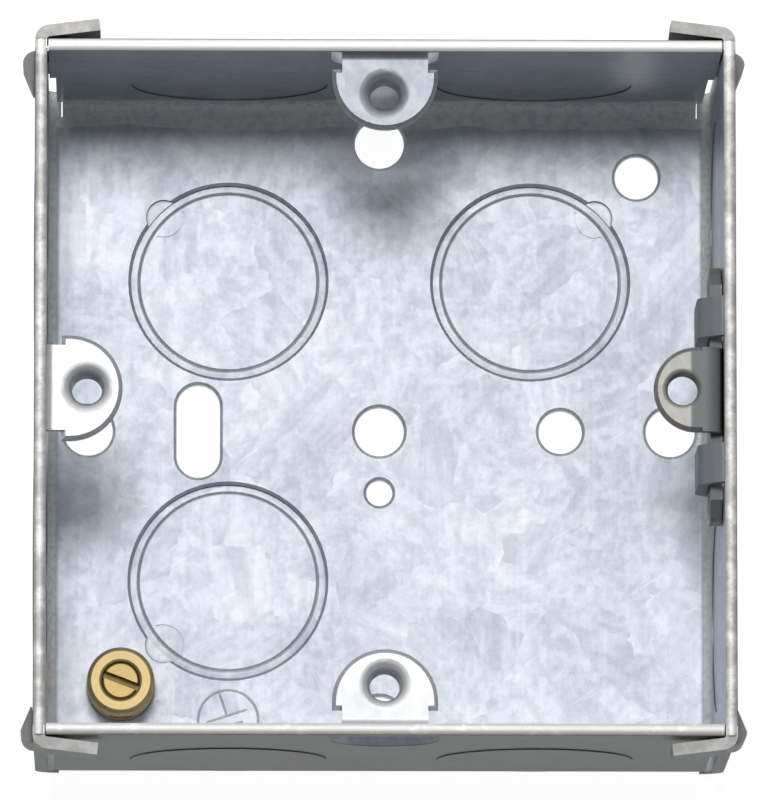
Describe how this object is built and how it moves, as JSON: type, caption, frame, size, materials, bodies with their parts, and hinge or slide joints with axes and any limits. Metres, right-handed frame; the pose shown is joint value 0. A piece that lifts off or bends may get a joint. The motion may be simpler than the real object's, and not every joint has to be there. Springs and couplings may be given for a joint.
{
  "type": "flush back box",
  "caption": "Square folded steel back box for a wall plate, open at the front, with lanced screw lugs, one lug that slides, round knockouts and a brass earth terminal.",
  "frame": {"origin": "under the middle of the back, level with the outer faces of the pushed-out knockout discs that the box rests on", "axes": "+Z out of the open front, +X towards the wall with the sliding lug, +Y towards the wall that is the top one when the earth terminal is at the lower left"},
  "size_m": [0.0736, 0.075, 0.0355],
  "materials": {
    "galvanised": "galvanised, satin, with faint spangle",
    "brass": "turned, satin"
  },
  "bodies": {
    "box": {"box_shell": "galvanised", "earth_terminal": "brass"},
    "sliding_lug": {"adjustable_lug": "galvanised"},
    "terminal_screw": {"earth_screw": "brass"}
  },
  "joints": [
    {"name": "lug_slide", "type": "slide", "parent": "box", "child": "sliding_lug", "axis": [0, 1, 0], "range_m": [-0.00115, 0.00115]},
    {"name": "earth_screw_turn", "type": "hinge", "parent": "box", "child": "terminal_screw", "pos_m": [-0.0267, -0.0267, 0.006], "axis": [0, 0, 1], "continuous": true}
  ]
}
